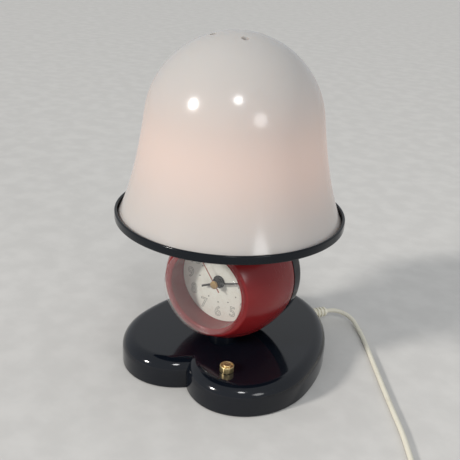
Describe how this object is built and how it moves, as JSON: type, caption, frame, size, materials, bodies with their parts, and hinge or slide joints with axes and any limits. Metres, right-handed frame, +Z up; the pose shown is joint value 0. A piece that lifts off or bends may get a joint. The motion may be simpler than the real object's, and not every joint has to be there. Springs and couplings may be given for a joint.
{
  "type": "touch lamp clock",
  "caption": "Table lamp with a bell shade over a barrel-shaped quartz clock on a two-lobed base with a touch knob.",
  "frame": {"origin": "on the resting plane, under the lamp's upright axis through the shade, the clock and the threaded tubes", "axes": "+Z up, -Y out of the clock's dial, +X to the right as the dial is read"},
  "size_m": [0.4273, 0.3658, 0.3358],
  "materials": {
    "gloss_black": "high gloss",
    "satin_black": "satin",
    "pad_foam": "matt",
    "steel": "bright",
    "dark_steel": "blackened",
    "knob_brass": "polished",
    "pin_nickel": "plated",
    "ivory_plastic": "satin",
    "ivory_cord": "satin",
    "clock_red": "high gloss",
    "clear_lens": "clear, polished",
    "dial_cream": "matt, mottled",
    "hand_black": "satin",
    "hand_red": "satin",
    "cell_wrap": "satin",
    "opal_acrylic": "glossy opal",
    "bulb_opal": "opal"
  },
  "bodies": {
    "lamp": {"base_shell": "gloss_black", "bottom_plate": "satin_black", "tray": "satin_black", "knob_bush": "satin_black", "lower_collar": "satin_black", "upper_collar": "satin_black", "movement": "satin_black", "lamp_holder": "satin_black", "touch_dimmer": "satin_black", "base_pad": "pad_foam", "plate_screws": "steel", "knob_screw": "steel", "knob_nut": "steel", "dimmer_screws": "steel", "lower_nipple": "steel", "upper_nipple": "steel", "nipple_nuts": "steel", "battery_contacts": "steel", "bulb_cap": "steel", "shaft_nut": "dark_steel", "shaft_washer": "dark_steel", "touch_knob": "knob_brass", "holder_shell": "knob_brass", "holder_contact": "knob_brass", "plug_pins": "pin_nickel", "strain_relief": "ivory_plastic", "plug": "ivory_plastic", "cord": "ivory_cord", "cord_coil": "ivory_cord", "mains_lead": "ivory_cord", "lamp_lead": "ivory_cord", "sense_wire": "ivory_cord", "clock_body": "clock_red", "clock_lens": "clear_lens", "dial": "dial_cream", "battery": "cell_wrap", "bulb_glass": "bulb_opal"},
    "minute_hand": {"minute_hand": "hand_black"},
    "hour_hand": {"hour_hand": "hand_black"},
    "second_hand": {"second_hand": "hand_red", "second_cap": "knob_brass"},
    "set_knob": {"set_knob": "satin_black"},
    "rear_cover": {"rear_cover": "gloss_black"},
    "shade": {"shade": "opal_acrylic"}
  },
  "joints": [
    {"name": "minute_turn", "type": "hinge", "parent": "lamp", "child": "minute_hand", "pos_m": [0, -0.02, 0.0955], "axis": [0, 1, 0], "continuous": true},
    {"name": "hour_turn", "type": "hinge", "parent": "lamp", "child": "hour_hand", "pos_m": [0, -0.019, 0.0955], "axis": [0, 1, 0], "continuous": true},
    {"name": "second_turn", "type": "hinge", "parent": "lamp", "child": "second_hand", "pos_m": [0, -0.022, 0.0955], "axis": [0, 1, 0], "continuous": true},
    {"name": "set_knob_turn", "type": "hinge", "parent": "lamp", "child": "set_knob", "pos_m": [0, 0.005, 0.0955], "axis": [0, 1, 0], "continuous": true},
    {"name": "rear_cover_pull", "type": "slide", "parent": "lamp", "child": "rear_cover", "axis": [0, 1, 0], "range_m": [0, 0.03]},
    {"name": "shade_lift", "type": "slide", "parent": "lamp", "child": "shade", "axis": [0, 0, 1], "range_m": [0, 0.12]}
  ],
  "couplings": [
    {"joint": "hour_turn", "follows": "minute_turn", "ratio": 0.083333},
    {"joint": "set_knob_turn", "follows": "minute_turn", "ratio": 1},
    {"joint": "second_turn", "follows": "minute_turn", "ratio": 60}
  ]
}
